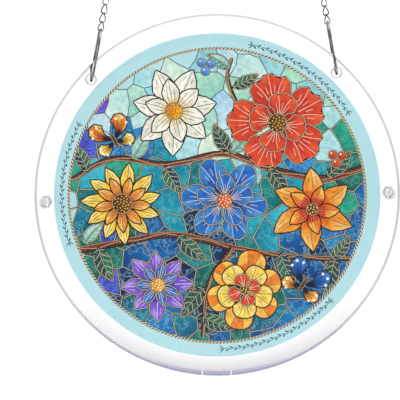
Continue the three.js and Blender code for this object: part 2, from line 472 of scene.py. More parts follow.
def plate(name, front, back, finish, node):
    """A disc with its holes. A rounded edge profile is carried round each outline, and flat faces fill
    the space between the outlines in front and behind."""
    quarter = np.linspace(0, TURN / 4, EDGE_STEPS + 1)
    inset = EDGE_ROUND * np.concatenate([1 - np.sin(quarter), 1 - np.cos(quarter)])
    depth = np.concatenate([
        front + EDGE_ROUND * (1 - np.cos(quarter)),
        back - EDGE_ROUND * (1 - np.sin(quarter)),
    ])
    outlines = [((0, 0), DISC_RADIUS, 1, RIM_STEPS)]
    for side in (-1, 1):
        outlines.append((on_hole_circle(side * RING_HOLE_ANGLE), RING_HOLE_RADIUS, -1, HOLE_STEPS))
        outlines.append((on_hole_circle(side * SCREW_HOLE_ANGLE), SCREW_HOLE_RADIUS, -1, HOLE_STEPS))
    points, faces, firsts, loops, count = [], [], [], [], 0
    for (x, z), radius, outward, steps in outlines:
        angle = round_turn(steps)[:, None]
        reach = radius - outward * inset
        ring = on_disc(x + reach * np.cos(angle), depth, z + reach * np.sin(angle))
        points.append(ring.reshape(-1, 3))
        faces.append(count + grid_faces(steps, len(inset), close_rows=True))
        firsts.append(count + np.arange(steps) * len(inset))
        loops.append(circle(reach[0], steps, x, z))
        count += steps * len(inset)
    front_face = np.concatenate(firsts)[filled(loops)]
    faces += [front_face, front_face[:, ::-1] + len(inset) - 1]
    return make_piece(name, np.concatenate(points), faces, finish, node)


def screw(name, angle, finish, node):
    """A slotted screw along Y. Its head is a dome over straight lines across the slot, each column x and
    v along it, and its shank is turned from the head's rim with a wave that climbs as a thread."""
    low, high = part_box(node)
    x0, z0 = on_hole_circle(angle)
    under_head = disc_low.y - TOUCH_GAP
    head_edge = under_head - HEAD_EDGE_HEIGHT
    dome = head_edge - low.y
    half_slot = math.asin(SLOT_WIDTH / 2 / HEAD_RADIUS)
    side = np.linspace(half_slot, TURN / 4, HEAD_COLUMNS)
    column = np.concatenate([-side[::-1], [-half_slot, 0, half_slot], side])
    v = np.linspace(-TURN / 4, TURN / 4, DOME_STEPS + 1)
    x = HEAD_RADIUS * np.sin(column)[:, None]
    z = HEAD_RADIUS * np.cos(column)[:, None] * np.sin(v)
    height = dome * np.sqrt(np.clip(1 - (x * x + z * z) / HEAD_RADIUS ** 2, 0, 1))
    in_slot = np.zeros(len(column), bool)
    in_slot[HEAD_COLUMNS:-HEAD_COLUMNS] = True
    height = np.where(in_slot[:, None], np.minimum(height, dome - SLOT_DEPTH), height)
    head = on_disc(x0 + x, head_edge - height, z0 + z)
    around = np.concatenate([column, math.pi - column[::-1]])
    thread_start, thread_end = under_head + THREAD_PITCH, high.y - SCREW_END_CHAMFER
    run = np.linspace(thread_start, thread_end, THREAD_STEPS)[:, None]
    wave = 0.5 - 0.5 * np.cos(TURN * (run - thread_start) / THREAD_PITCH - around)
    fade_in = np.minimum(1, (run - thread_start) / THREAD_PITCH)
    fade_out = np.minimum(1, (thread_end - run) / THREAD_PITCH)
    even = np.ones(len(around))
    radius = np.concatenate([
        [HEAD_RADIUS * even, HEAD_RADIUS * even, (HEAD_RADIUS - HEAD_CHAMFER) * even, SCREW_RADIUS * even],
        SCREW_RADIUS - THREAD_DEPTH * wave * (fade_in * fade_out),
        [(SCREW_RADIUS - SCREW_END_CHAMFER) * even, 0 * even],
    ])
    y = np.concatenate([
        [head_edge, under_head - HEAD_CHAMFER, under_head, under_head],
        run[:, 0],
        [high.y, high.y],
    ])[:, None]
    shank = on_disc(x0 + radius * np.sin(around), y, z0 + radius * np.cos(around))
    faces = [grid_faces(*z.shape), z.size + grid_faces(*radius.shape, close_columns=True)]
    points = np.concatenate([head.reshape(-1, 3), shank.reshape(-1, 3)])
    return make_piece(name, points, faces, finish, node)


def nut(name, angle, finish, node):
    """A hexagon nut: a profile carried round its axis, whose reach is the hexagon's, with the corners
    of both faces cut back on a cone."""
    low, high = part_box(node)
    x0, z0 = on_hole_circle(angle)
    around = round_turn(NUT_SIDE_STEPS * NUT_SIDES)
    sector = TURN / NUT_SIDES
    reach = NUT_FLAT_RADIUS / np.cos((around % sector) - sector / 2)
    cut = (reach - NUT_FLAT_RADIUS) * NUT_CORNER_SLOPE + NUT_LEAST_CUT
    even = np.ones(len(around))
    flat, bore, mouth = (r * even for r in (NUT_FLAT_RADIUS, NUT_BORE_RADIUS, NUT_BORE_RADIUS + NUT_LIP))
    radius = np.stack([bore, mouth, flat, reach, reach, flat, mouth, bore])
    y = np.stack([
        (low.y + NUT_LIP) * even, low.y * even, low.y * even, low.y + cut,
        high.y - cut, high.y * even, high.y * even, (high.y - NUT_LIP) * even,
    ])
    points = on_disc(x0 + radius * np.cos(around), y, z0 + radius * np.sin(around))
    return closed_piece(name, points, finish, node)


def oval_wire(half_width, half_length, wire_radius, bend_steps, side_steps, sides):
    """A wire bent to an oval: two half circles joined by straight sides, and a round section carried
    along. It lies across X and along Z, as a grid of places along the wire and round the section."""
    straight = half_length - half_width
    bend = np.linspace(0, math.pi, bend_steps + 1)
    side = np.linspace(straight, -straight, side_steps + 1)[1:-1]
    outward = np.concatenate([bend, 0 * side + math.pi, bend + math.pi, 0 * side])[:, None]
    middle = np.concatenate([0 * bend + straight, side, 0 * bend - straight, -side])[:, None]
    section = round_turn(sides)
    reach = half_width + wire_radius * np.cos(section)
    across, along = reach * np.cos(outward), middle + reach * np.sin(outward)
    return across, np.broadcast_to(wire_radius * np.sin(section), across.shape), along


class Leg:
    """The line from a hanging hole up to the middle of the hanging ring."""

    def __init__(self, side):
        x, z = on_hole_circle(side * RING_HOLE_ANGLE)
        self.foot = on_disc(x, 0.0, z)
        line = np.array([0.0, 0.0, TOP_RING_HEIGHT]) - self.foot
        self.length = np.linalg.norm(line)
        self.up = line / self.length
        self.across = np.array([self.up[2], 0.0, -self.up[0]])

    def place(self, across, depth, along):
        across, depth, along = (np.asarray(part)[..., None] for part in (across, depth, along))
        return self.foot + across * self.across + depth * np.array([0.0, 1.0, 0.0]) + along * self.up


def wire_ring(name, leg, turn, finish, node):
    """An oval ring that stands across the disc, turned a little about its length."""
    across, thick, along = oval_wire(RING_HALF_WIDTH, RING_HALF_LENGTH, RING_WIRE_RADIUS, *RING_STEPS)
    sideways = thick * math.cos(turn) - across * math.sin(turn)
    depth = thick * math.sin(turn) + across * math.cos(turn)
    points = leg.place(sideways, depth, along + RING_HALF_LENGTH - RING_DROP_IN_HOLE)
    return closed_piece(name, points, finish, node)


def chain(name, leg, finish, node):
    """Twisted oval links in a row. Each is a small oval wire, turned about its length by an angle that
    grows evenly from none at its lower end to a quarter turn at its upper end."""
    bearing = RING_WIRE_RADIUS + LINK_WIRE_RADIUS + TOUCH_GAP
    lowest = 2 * RING_HALF_LENGTH - RING_DROP_IN_HOLE - bearing + LINK_BEND_TO_MIDDLE
    highest = leg.length - TOP_RING_RADIUS + bearing - LINK_BEND_TO_MIDDLE
    steps = math.floor((highest - lowest) / LINK_LEAST_PITCH)
    middles = np.linspace(lowest, highest, steps + 1)
    across, thick, along = oval_wire(LINK_HALF_WIDTH, LINK_HALF_LENGTH, LINK_WIRE_RADIUS, *LINK_STEPS)
    twist = LINK_TWIST / 2 * (1 + along / LINK_HALF_LENGTH)
    sideways = across * np.cos(twist) - thick * np.sin(twist)
    depth = across * np.sin(twist) + thick * np.cos(twist)
    points = leg.place(sideways, depth, along + middles[:, None, None])
    link = grid_faces(*across.shape, close_rows=True, close_columns=True)
    faces = [link + i * across.size for i in range(len(middles))]
    return make_piece(name, points, faces, finish, node)


def hanging_ring(name, finish, node):
    """A round wire ring that faces the front, its section carried round one circle."""
    across, thick, along = oval_wire(TOP_RING_RADIUS, TOP_RING_RADIUS, RING_WIRE_RADIUS, *TOP_RING_STEPS)
    points = np.stack([across, thick, along + TOP_RING_HEIGHT], axis=-1)
    return closed_piece(name, points, finish, node)


# The printed picture, drawn in millimetres about the middle of the disc

BAND_RADIUS = 89.25
PICTURE_RADIUS = 81.9
ROPE_WIDTH = 1.1
ROPE_TWISTS = 264
STRAND_TURNS = (0.0, 0.5, 1.15, 0.65)
STRAND_REACHES = (-0.42, -0.42, 0.42, 0.42)
OUTLINE_STEPS = 288

# How close merged points lie, and how close they lie when the picture is cut anew. A quad smaller than
# the least size is left out. A shape is spilt where it covers more than this many times its own size.
# Each shape's number spreads over it in so many passes.
MERGE_DISTANCE = 0.001
CUT_ANEW_DISTANCE = 1e-9
LEAST_SIZE = 0.003
SPILT = 1.3
PASSES = 400

# The widths of lines, and where along a leaf its side veins start.
DARK_EDGE = 0.7
LEAD_EDGE = 0.95
LEAF_EDGE = 0.9
VEINS = np.linspace(0.40, 0.24, 4)
VEIN_STARTS = (0.16, 0.33, 0.50, 0.66)
FINE_WIRE = 0.26
BRANCH_WIRE = 0.34
STEM = 0.32

# The hearts of the flowers with their seeds, the berries, and a butterfly's wings: the heading of each
# from the body's, its length against the butterfly's size, and its breadth.
GOLDEN_ANGLE = math.pi * (3 - math.sqrt(5))
HEART_STEPS = 20
DOT_STEPS = 6
SEED_RADIUS = 0.42
BERRY_RADIUS = 2.5
BERRY_STEPS = 14
BERRIES_APART = 2.9
LOWER_WING = (2.15, 0.78, 1.0)
UPPER_WING = (0.95, 1.05, 0.95)

# The background's shards: how far their sites lie apart and are strewn, up to which depth of colour the
# glass is pale and up to which it is teal, and what share is violet to the left of which place.
SHARD_SPACING = 14.0
SHARDS_FROM_MIDDLE = 7
SHARD_SCATTER = 5.4
FARTHEST_SITE = PICTURE_RADIUS + 4
FARTHEST_EDGE = PICTURE_RADIUS + 3
PALE_DEPTH = 0.36
TEAL_DEPTH = 0.74
VIOLET_LEFT_OF = -40
VIOLET_SHARE = 0.16

# The garlands' places, as angles clockwise from the top, and the spacing of their leaves.
GARLANDS = [(15, 57.5), (135, 178.75), (255, 298.75)]
GARLAND_RADIUS = 85.0
GARLAND_SWAY = 0.45
GARLAND_SPACING = 2.3


def colour(code):
    """A colour written #rrggbb, as linear light."""
    parts = np.array([int(code[i:i + 2], 16) for i in (1, 3, 5)]) / 255
    return np.where(parts <= 0.04045, parts / 12.92, ((parts + 0.055) / 1.055) ** 2.4)


class Paint:
    """The two colours of a shape, and how clouded, rippled and stippled its glass is. A wired one is a
    line of the first colour, with a thin wire of the second along its middle."""

    def __init__(self, first, second=None, cloudy=0.8, rippled=0.0, stippled=0.0, wired=0.0):
        self.first, self.second = colour(first), colour(second or first)
        self.grain = (cloudy, rippled, stippled, wired)


def palette(*pairs):
    """Paints of plain glass, each from two colours."""
    return [Paint(*pair.split()) for pair in pairs]


DARK = Paint("#1b1820", cloudy=0.0)
LEAD = Paint("#14121a", "#e6d3a8", cloudy=0.0, wired=1.0)
THIN_LEAD = Paint("#3d5158", cloudy=0.0)
WIRE = Paint("#d2b57c", cloudy=0.0)
PALE_WIRE = Paint("#e6dcc2", cloudy=0.0)
BAND = Paint("#b5e0e6", "#bae3e8", cloudy=0.1)
MARKS = Paint("#33505c", cloudy=0.1)
GREY_MARKS = Paint("#6f9098", cloudy=0.1)
ROPE = Paint("#33241e", cloudy=0.0)
ROPE_STRANDS = Paint("#f0e2c6", cloudy=0.0)

PALE_GLASS = palette(
    "#bfe6e6 #9fd8de", "#d6efe8 #b4e0dc", "#e6f2dd #c5e5d6", "#a9dfe0 #86cdd8", "#cfe9ee #a8d4e6",
    "#b9e3cd #8ed0bd",
)
TEAL_GLASS = [
    Paint("#12a4b6", "#08809c", 1.0, 0.5), Paint("#1cb6c2", "#0c94aa", 1.0, 0.4),
    Paint("#0c9088", "#067078", 1.0, 0.5), Paint("#26ae8e", "#108c78", 1.0, 0.4),
    Paint("#1f8fce", "#0e6ab0", 1.0, 0.6), Paint("#4cc8d4", "#1ca6c2", 1.0, 0.3),
]
DEEP_GLASS = [
    Paint("#0a6eae", "#084488", 1.0, 0.8), Paint("#093e70", "#071e48", 1.0, 1.0),
    Paint("#0a86a0", "#075474", 1.0, 0.8), Paint("#108874", "#0a5650", 1.0, 0.6),
    Paint("#0f8cc0", "#0a5ca4", 1.0, 0.8), Paint("#073c5e", "#061a3a", 1.0, 1.0),
]
VIOLET_GLASS = [Paint("#5a3fc0", "#2b56c8", 1.0, 0.5), Paint("#7a4fd0", "#4a2aa8", 1.0, 0.4)]
LEAF_GLASS = [
    Paint("#0f3a32", "#195a44", 0.8, 0.0, 1.0), Paint("#0d3034", "#164a48", 0.8, 0.0, 1.0),
    Paint("#175c46", "#237a54", 0.9, 0.0, 0.9), Paint("#0c2a44", "#12405a", 0.8, 0.0, 0.9),
]
MINT_GLASS = palette("#5fb9a4 #a8ddc8", "#6fc6c4 #b6e6dc", "#2f9f9a #6cc6b4")
BARK = Paint("#4a1214", "#8a2a22", 0.9, 0.0, 0.5)
RED_BERRY, BLUE_BERRY = palette("#b3201c #e86a3a", "#2b56c8 #6fb6ea")

# A petal's paints, at its base, over most of it and in its outer panes.
RED = palette("#7e1216 #c4241f", "#b91d1d #e04a2a", "#c9281f #ea6238")
CREAM = palette("#e9c56a #efe0b8", "#f4ecd8 #fbf7ec", "#e8e2d4 #f8f1e0")
YELLOW = palette("#d98a1c #efb52c", "#eeb62c #f7dc62", "#f3c93c #f9e79a")
BLUE = palette("#0e1e56 #164296", "#143c92 #2272c8", "#1a58b0 #429edc")
ORANGE = palette("#c23a18 #e8761e", "#e77a20 #f5ab3c", "#f09a34 #f8d382")
PURPLE = palette("#341a7e #5a35b8", "#5b36bd #8a63dc", "#6c48cc #b49aec")
ROSE = palette("#a51a1c #d5351f", "#d4451f #ee8a28", "#ef9a2c #f7cf5c")
BROWN = Paint("#3a2418", "#7a4a26")


def turning(a, b, c):
    """Twice the area of the triangle of three points, above zero where they turn anticlockwise."""
    u, v = b - a, c - b
    return u[..., 0] * v[..., 1] - u[..., 1] * v[..., 0]


def beside(path, closed=False):
    """The direction to the left of a path at each of its points, as a unit length."""
    step = np.roll(path, -1, axis=0) - np.roll(path, 1, axis=0) if closed else np.gradient(path, axis=0)
    step = step / np.linalg.norm(step, axis=1)[:, None]
    return np.stack([-step[:, 1], step[:, 0]], axis=-1)


class Picture:
    """Flat shapes laid one over another, in millimetres about the middle of the disc, x to the right
    and z up. Their outlines cut each other into triangles, and each takes the paint of its top shape."""

    def __init__(self):
        self.points, self.faces, self.count = [], [], 0
        self.first, self.second, self.slope, self.grain = [], [], [], []

    def add(self, points, faces, paint, slope):
        self.points.append(points)
        self.faces += (np.asarray(faces) + self.count).tolist()
        self.count += len(points)
        lists = (self.first, self.second, self.slope, self.grain)
        for rows, row in zip(lists, (paint.first, paint.second, slope, paint.grain)):
            rows.append(np.broadcast_to(row, (len(faces), np.shape(row)[-1])))

    def lay(self, outline, paint, heading=0.0):
        """One closed shape. Its colour runs from the paint's first to its second along the heading."""
        outline = np.roll(outline, -np.argmax(outline[:, 0]), axis=0)
        if turning(outline[-1], outline[0], outline[1]) < 0:
            outline = np.roll(outline[::-1], 1, axis=0)
        direction = np.array([math.cos(heading), math.sin(heading)])
        along = outline @ direction
        reach = along.max() - along.min()
        self.add(outline, [range(len(outline))], paint, (*direction / reach, -along.min() / reach))

    def leaded(self, outline, paint, width, heading=0.0):
        """One closed shape inside a line of lead."""
        self.lay(outline, paint, heading)
        self.line(outline, width, closed=True)

    def line(self, path, width, paint=LEAD, closed=False):
        """A strip of quads along a path, with its width at each point. The slope of each runs across it."""
        side = beside(path, closed)
        width = np.broadcast_to(width, len(path))[:, None]
        quads = grid_faces(2, len(path), close_columns=closed)
        first, last = quads[:, 0], quads[:, 1]
        slope = (side[first] + side[last]) / (width[first] + width[last])
        middle = (path[first] + path[last]) / 2
        start = 0.5 - (slope * middle).sum(axis=1)
        edges = np.concatenate([path - side * width / 2, path + side * width / 2])
        a, b, c, d = (edges[quads[:, i]] for i in range(4))
        turns = [turning(a, b, c), turning(b, c, d), turning(c, d, a), turning(d, a, b)]
        untwisted = np.min(turns, axis=0) > LEAST_SIZE
        self.add(edges, quads[untwisted], paint, np.column_stack([slope, start])[untwisted])

    def cut(self):
        """The triangles of the whole picture: their corners, and the number of each one's top shape.
        What lies beyond the first shape is left out. Where merged corners have turned a tiny shape inside
        out, it would cover far more than its own size, so such a shape is passed over."""
        points = np.concatenate(self.points)
        places = [Vector(p) for p in points.tolist()]
        cut = delaunay_2d_cdt(places, [], self.faces, INSIDE, MERGE_DISTANCE)
        corners, triangles = np.array([tuple(p) for p in cut[0]]), np.array(cut[2])
        size = turning(*(corners[triangles[:, i]] for i in range(3)))
        layers = np.array([len(shapes) for shapes in cut[5]])
        covered = np.bincount(np.concatenate(cut[5]), np.repeat(size, layers), len(self.faces))
        outlines = [points[face] for face in self.faces]
        own = np.array([turning(o[0], o, np.roll(o, -1, axis=0)).sum() for o in outlines])
        spilt = set(np.flatnonzero(covered > SPILT * own + 1).tolist())
        kept = [i for i, shapes in enumerate(cut[5]) if 0 in shapes]
        top = np.array([max(s for s in cut[5][i] if s not in spilt) for i in kept])
        return corners, triangles[kept], top


def blade(base, heading, length, breadth, bend=0.0, belly=0.5):
    """A narrow petal or leaf, as places t along it and s across it from -1 to 1. Its middle line turns
    evenly by the bend, and its half-width is a sine arch of t, raised so that it is widest at the belly."""
    power = math.log(0.5) / math.log(belly)
    bend = bend or 1e-6

    def at(t, s):
        t, s = np.broadcast_arrays(np.asarray(t, float), s)
        angle = heading + bend * t
        half = s * breadth * length / 2 * np.sin(math.pi * np.clip(t, 0, 1) ** power)
        x = base[0] + length * (np.sin(angle) - math.sin(heading)) / bend - half * np.sin(angle)
        z = base[1] - length * (np.cos(angle) - math.cos(heading)) / bend + half * np.cos(angle)
        return np.stack([x, z], axis=-1)
    return at


def fan(base, heading, length, breadth, frill=0.0, lobes=3, tip=0.0, bend=0.0):
    """A broad petal. Across it the heading swings by the breadth, more and more from its base. Its outer
    edge is rounded off at the sides, frilled by a cosine, drawn out to a tip and swept by the bend."""
    def at(t, s):
        t, s = np.broadcast_arrays(np.asarray(t, float), s)
        angle = heading + s * breadth / 2 * (0.45 + 0.55 * t) + bend * t * t
        round_off = 1 - 0.34 * np.abs(s) ** 3 * t + frill * np.cos(lobes * math.pi * s) * t * t
        reach = length * t * (round_off + tip * (1 - np.abs(s)) ** 2 * t * t)
        return polar(reach, angle, *base)
    return at


def pane(at, t_low=0.0, t_high=0.985, s_low=-1.0, s_high=1.0, steps=7, end_steps=5):
    """The outline of a part of a petal: out along one side, over its end and back along the other."""
    t, s = np.linspace(t_low, t_high, steps + 1), np.linspace(s_low, s_high, end_steps + 1)
    sides = [at(t, s_low), at(t_high, s[1:-1]), at(t[:0:-1], s_high)]
    if t_low > 0:
        sides.append(at(t_low, s[:0:-1]))
    return np.concatenate(sides)


def petal(picture, at, heading, paints, columns, vein, covered=0.0):
    """One petal: its glass, darker at its base, and paler panes side by side in its outer half, with
    veins fanning out between them and a leaded edge. Its veins start where nothing covers it."""
    inner, middle, outer = paints
    outline = pane(at, steps=5, end_steps=9)
    picture.lay(outline, middle, heading)
    stops = np.linspace(-1, 1, columns + 1)
    for i in range(0, columns, 2):
        start = max(covered, 0.50) + 0.08 * (i % 3)
        picture.lay(pane(at, start, 0.97, stops[i], stops[i + 1], 2, 2), outer, heading)
    if covered < 0.4:
        picture.lay(pane(at, 0.0, 0.45, -0.8, 0.8, 2, 2), inner, heading)
    t = np.linspace(0, 1, len(VEINS))
    for s in stops[1:-1]:
        picture.line(at(covered + 0.10 + (0.86 - covered) * t, s * (0.7 + 0.3 * t)), VEINS, vein)
    t = t[:-1]
    for s in (stops[1:] + stops[:-1]) / 2:
        path = at(covered + 0.25 + (0.62 - covered) * t, s * (0.8 + 0.1 * t))
        picture.line(path, VEINS[:-1] * 0.8, vein)
    edge_width, edge = (LEAD_EDGE, LEAD) if vein is PALE_WIRE else (DARK_EDGE, DARK)
    picture.line(outline, edge_width, edge, True)


def eye(picture, middle, radius, paint, dots, dot_paint):
    """The heart of a flower: a leaded disc, covered with dots in the spiral of a seed head."""
    picture.leaded(circle(radius, HEART_STEPS, *middle), paint, DARK_EDGE)
    for i in range(dots):
        reach = radius * 0.88 * math.sqrt((i + 0.5) / dots)
        picture.lay(circle(SEED_RADIUS, DOT_STEPS, *polar(reach, i * GOLDEN_ANGLE, *middle)), dot_paint)


def bloom(picture, middle, radius, turn, rings):
    """A flower's petals in rings, the outermost first. A ring has its number of petals, their length
    against the radius, their breadth, shape, paints and panes, and the paint of their veins."""
    for number, (count, length, breadth, shape, paints, columns, vein) in enumerate(rings):
        covered = 0.6 * rings[number + 1][1] / length if number + 1 < len(rings) else 0.0
        for i in range(count):
            heading = turn + (i + number / 2) * TURN / count + DICE.uniform(-0.05, 0.05)
            at = shape(middle, heading, radius * length * DICE.uniform(0.94, 1.05), breadth)
            petal(picture, at, heading, paints, columns, vein, covered)


def leaf(picture, base, heading, length, breadth, bend, glass, other_glass):
    """A leaf of two halves on either side of its rib, with paired side veins."""
    at = blade(base, heading, length, breadth, bend, 0.42)
    picture.lay(pane(at, s_low=-1, s_high=0, end_steps=1), glass, heading)
    picture.lay(pane(at, s_low=0, s_high=1, end_steps=1), other_glass, heading)
    run = np.linspace(0, 1, 3)
    for start in VEIN_STARTS:
        for side in (-1, 1):
            picture.line(at(start + 0.15 * run, side * 0.88 * run), FINE_WIRE, PALE_WIRE)
    picture.line(at(np.linspace(0, 0.97, 6), 0), np.linspace(0.95, 0.6, 6))
    picture.line(pane(at, steps=6, end_steps=1), LEAF_EDGE, closed=True)


def smooth_path(corners, steps=6):
    """A smooth curve through all the corners: a cubic between each two, with slopes from their
    neighbours."""
    p = np.asarray(corners, float)
    p = np.concatenate([[2 * p[0] - p[1]], p, [2 * p[-1] - p[-2]]])
    t = np.linspace(0, 1, steps, endpoint=False)[None, :, None]
    a, b, c, d = (p[i:len(p) - 3 + i, None, :] for i in range(4))
    square, cube = 2 * a - 5 * b + 4 * c - d, 3 * b - a - 3 * c + d
    curve = (2 * b + (c - a) * t + square * t ** 2 + cube * t ** 3) / 2
    return np.concatenate([curve.reshape(-1, 2), p[-2:-1]])


def branch(picture, corners, thick, thin):
    """A tapering branch with a dark edge, and bright wires that wander along it."""
    path = smooth_path(corners)
    width = np.linspace(thick, thin, len(path))
    across = beside(path)
    picture.line(path, width + 1.0, DARK)
    picture.line(path, width, BARK)
    sway = 0.24 * width * np.sin(np.arange(len(path)) * 1.3)
    picture.line(path + across * sway[:, None], BRANCH_WIRE, WIRE)
    picture.line(path + across * (width / 2 + 0.1)[:, None], FINE_WIRE, WIRE)


def butterfly(picture, middle, size, turn, upper, lower):
    """A butterfly from above: two pairs of veined wings, a dark body and two feelers."""
    for side in (-1, 1):
        for (heading, length, breadth), paints in ((LOWER_WING, lower), (UPPER_WING, upper)):
            swing = turn + side * heading
            at = fan(middle, swing, size * length, breadth, 0.04, 4, 0.05, -side * 0.25)
            petal(picture, at, swing, paints, 4, DARK)
            for s in (-0.6, 0.0, 0.6):
                picture.lay(circle(0.06 * size, DOT_STEPS, *at(0.84, s)), CREAM[1])
        feeler = blade(middle, turn + side * 0.12, size * 0.85, 0.1, side * 0.7)
        picture.line(feeler(np.linspace(0, 1, 5), 0), 0.4, DARK)
    body = blade(polar(-0.42 * size, turn, *middle), turn, size * 0.85, 0.16)
    picture.leaded(pane(body, end_steps=1), BROWN, 0.6, turn)


def berries(picture, x, z, paint):
    """Three round berries in a cluster, each with a light spot."""
    for i in range(3):
        middle_x, middle_z = polar(BERRIES_APART, TURN * i / 3 + 0.4, x, z)
        picture.leaded(circle(BERRY_RADIUS, BERRY_STEPS, middle_x, middle_z), paint, 0.65, 1.2)
        picture.lay(circle(0.5, DOT_STEPS, middle_x - 0.8, middle_z + 0.9), CREAM[1])


def directed_edges(triangles, count):
    """The three edges of each triangle, the triangle that each belongs to, and a number for each edge
    and for the same edge run the other way."""
    edges = np.concatenate([triangles[:, [0, 1]], triangles[:, [1, 2]], triangles[:, [2, 0]]])
    owner = np.tile(np.arange(len(triangles)), 3)
    return edges, owner, edges[:, 0] * count + edges[:, 1], edges[:, 1] * count + edges[:, 0]


def shards(picture):
    """The background. Round each of many strewn sites lies the shard of all places nearest to it. Its
    corners are the centres of the circles through three neighbouring sites, and a smooth wave bends its
    edges. High in the middle the glass is pale, and towards the sides and the bottom it deepens."""
    steps = np.arange(-SHARDS_FROM_MIDDLE, SHARDS_FROM_MIDDLE + 1) * SHARD_SPACING
    sites = np.stack(np.meshgrid(steps, steps), axis=-1).reshape(-1, 2)
    sites[:, 0] += SHARD_SPACING / 2 * (np.round(sites[:, 1] / SHARD_SPACING) % 2)
    sites += DICE.uniform(-SHARD_SCATTER, SHARD_SCATTER, sites.shape)
    triangles = triangulated(sites, [], ALL, MERGE_DISTANCE)
    a, b, c = (sites[triangles[:, i]] for i in range(3))
    ab, ac = b - a, c - a
    twice = 2 * (ab[:, 0] * ac[:, 1] - ab[:, 1] * ac[:, 0])
    square_ab, square_ac = (ab ** 2).sum(axis=1), (ac ** 2).sum(axis=1)
    centre_x = a[:, 0] + (ac[:, 1] * square_ab - ab[:, 1] * square_ac) / twice
    centre_z = a[:, 1] + (ab[:, 0] * square_ac - ac[:, 0] * square_ab) / twice
    centres = np.stack([centre_x, centre_z], axis=-1)
    for number, (x, z) in enumerate(sites):
        if math.hypot(x, z) > FARTHEST_SITE:
            continue
        corners = centres[(triangles == number).any(axis=1)]
        angle = np.arctan2(corners[:, 1] - z, corners[:, 0] - x)
        corners = corners[np.argsort(angle)]
        sides = [np.linspace(p, q, 3)[:-1] for p, q in zip(corners, np.roll(corners, -1, 0))]
        depth = depth_at(x, z) + DICE.uniform(-0.15, 0.15)
        glasses = PALE_GLASS if depth < PALE_DEPTH else TEAL_GLASS if depth < TEAL_DEPTH else DEEP_GLASS
        if x < VIOLET_LEFT_OF and DICE.random() < VIOLET_SHARE:
            glasses = VIOLET_GLASS
        shard = bent(np.concatenate(sides))
        picture.lay(shard, glasses[DICE.integers(len(glasses))], DICE.uniform(0, TURN))
    _, owner, key, reverse = directed_edges(triangles, len(sites))
    key = np.minimum(key, reverse)
    order = np.argsort(key, kind="stable")
    twin = np.flatnonzero(np.diff(key[order]) == 0)
    for p, q in zip(centres[owner[order[twin]]], centres[owner[order[twin + 1]]]):
        if np.linalg.norm([p, q], axis=1).min() > PICTURE_RADIUS or np.allclose(p, q, atol=0.3):
            continue
        pale = depth_at(*(p + q) / 2) < PALE_DEPTH
        picture.line(bent(np.linspace(p, q, 3)), 0.45 if pale else 1.0, THIN_LEAD if pale else LEAD)


def depth_at(x, z):
    """How deep the background's colour is: least in the upper middle, most at the sides and bottom."""
    return 0.50 - z / 115 + abs(x) / 300


def bent(path):
    """A path bent by a smooth wave, and kept just inside the band."""
    x, z = path[:, 0], path[:, 1]
    path = path + 1.7 * np.stack([np.sin(z * 0.19 + x * 0.05), np.sin(x * 0.17 + 1)], axis=-1)
    return path * np.minimum(1, FARTHEST_EDGE / np.linalg.norm(path, axis=1))[:, None]


def border(picture):
    """The pale band round the picture, and the twisted rope along its inner edge: short slanting
    strands on a dark strip, inside a thin bright wire."""
    middle = (BAND_RADIUS + PICTURE_RADIUS) / 2
    picture.line(circle(middle, OUTLINE_STEPS), BAND_RADIUS - PICTURE_RADIUS + 0.2, BAND, closed=True)
    rope_middle = PICTURE_RADIUS - ROPE_WIDTH / 2
    picture.line(circle(rope_middle, OUTLINE_STEPS), ROPE_WIDTH, ROPE, closed=True)
    picture.line(circle(rope_middle - ROPE_WIDTH / 2 - 0.1, OUTLINE_STEPS), 0.22, WIRE, closed=True)
    start = np.arange(ROPE_TWISTS)[:, None] * TURN / ROPE_TWISTS
    corner_turn = np.array(STRAND_TURNS) * TURN / ROPE_TWISTS
    corner_reach = rope_middle + np.array(STRAND_REACHES) * ROPE_WIDTH
    strands = polar(corner_reach, start - corner_turn)
    faces = np.arange(4 * ROPE_TWISTS).reshape(-1, 4)
    picture.add(strands.reshape(-1, 2), faces, ROPE_STRANDS, (0, 0, 0))


def garland(picture, start, end):
    """A thin wavy stem with small leaves on both sides along the band, between two angles clockwise
    from the top, and a grey sprig at each end."""
    count = round(math.radians(end - start) * GARLAND_RADIUS / GARLAND_SPACING)
    angle = math.pi / 2 - np.radians(np.linspace(start, end, count * 4 + 1))
    reach = GARLAND_RADIUS + GARLAND_SWAY * np.sin(np.linspace(0, count * math.pi, count * 4 + 1))
    stem = polar(reach, angle)
    picture.line(stem, STEM, MARKS)
    for i in range(count):
        side = 1 if i % 2 else -1
        at = blade(stem[i * 4], angle[i * 4] - math.pi / 2 + side * 0.9, 2.2, 0.42, -side * 0.6)
        picture.lay(pane(at, steps=4, end_steps=1), MARKS)
    for place, side in ((0, 1), (-1, -1)):
        for spread in (-0.5, 0.0, 0.5):
            at = blade(stem[place], angle[place] + side * math.pi / 2 + spread, 3.4, 0.26, spread)
            picture.lay(pane(at, steps=4, end_steps=1), GREY_MARKS)


# Each branch: the corners of its path, and its widths at both ends.
BRANCHES = [
    ([(-80, -28), (-56, -24), (-24, -20), (8, -28), (40, -34), (72, -36)], 3.4, 1.8),
    ([(80, 14), (58, 9), (30, 15), (4, 24), (-26, 19), (-56, 23), (-79, 12)], 3.2, 2.0),
    ([(30, 15), (22, 30), (8, 62), (10, 76)], 2.2, 1.0),
    ([(8, -28), (-6, -48), (-10, -78)], 2.4, 1.2),
]

